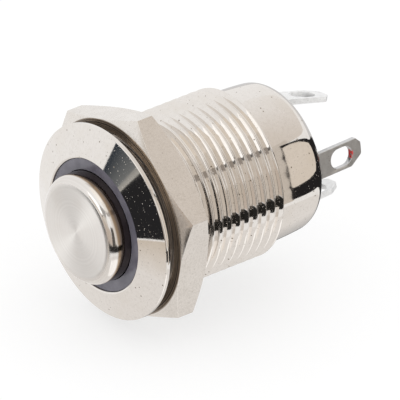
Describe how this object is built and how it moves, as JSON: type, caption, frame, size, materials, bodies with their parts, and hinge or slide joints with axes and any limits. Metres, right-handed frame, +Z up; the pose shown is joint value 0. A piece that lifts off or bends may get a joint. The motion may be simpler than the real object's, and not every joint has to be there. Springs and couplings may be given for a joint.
{
  "type": "metal pushbutton switch",
  "caption": "Threaded metal pushbutton switch with a raised flat button, a light ring, a panel nut and slotted solder lugs.",
  "frame": {"origin": "centre of the bezel's rear face, which seats on the panel", "axes": "+Y along the switch's axis towards the solder lugs, the button looks towards -Y, +Z up"},
  "size_m": [0.0154, 0.0219, 0.0158],
  "materials": {
    "nickel_plate": "bright nickel plate on turned brass",
    "nickel_plate_nut": "nickel plate over a tumbled nut",
    "turned_face": "plated cap with a turned front face",
    "light_guide": "smoky translucent plastic",
    "seal_rubber": "matt",
    "circuit_board": "green solder mask",
    "chip_white": "white body with a clear lens",
    "chip_black": "matt ceramic",
    "tinned_copper": "dull tin",
    "insulator_white": "moulded, matt",
    "insulator_black": "moulded, matt",
    "spring_steel": "drawn wire and stamped strip",
    "contact_brass": "stamped, bright",
    "contact_silver": "silver, lightly polished",
    "tinned_brass": "dull tin on stamped strip",
    "resin": "cast epoxy"
  },
  "bodies": {
    "switch": {"housing": "nickel_plate", "light_ring": "light_guide", "led_board": "circuit_board", "led_chips": "chip_white", "led_resistor": "chip_black", "led_lead_positive": "tinned_copper", "led_lead_negative": "tinned_copper", "inner_guide": "insulator_white", "return_spring": "spring_steel", "fixed_contact_no": "contact_silver", "fixed_contact_common": "contact_silver", "terminal_led_positive": "tinned_brass", "terminal_no": "tinned_brass", "terminal_led_negative": "tinned_brass", "terminal_common": "tinned_brass", "rear_base": "insulator_black", "epoxy_seal": "resin"},
    "button": {"button_cap": "turned_face", "button_seal": "seal_rubber", "plunger": "insulator_black", "retaining_ring": "spring_steel", "contact_spring": "spring_steel"},
    "bridge": {"contact_bridge": "contact_brass", "bridge_contacts": "contact_silver"},
    "nut": {"hex_nut": "nickel_plate_nut"}
  },
  "joints": [
    {"name": "button_press", "type": "slide", "parent": "switch", "child": "button", "axis": [0, 1, 0], "range_m": [0, 0.0013], "stiffness_N_per_m": 1500, "springref_m": -0.001, "deforming": ["return_spring", "contact_spring"]},
    {"name": "bridge_travel", "type": "slide", "parent": "switch", "child": "bridge", "axis": [0, 1, 0], "range_m": [0, 0.00099]},
    {"name": "nut_travel", "type": "slide", "parent": "switch", "child": "nut", "axis": [0, 1, 0], "range_m": [-0.00077, 0.0074]}
  ],
  "couplings": [
    {"joint": "bridge_travel", "follows": "button_press", "ratio": 0.754}
  ]
}
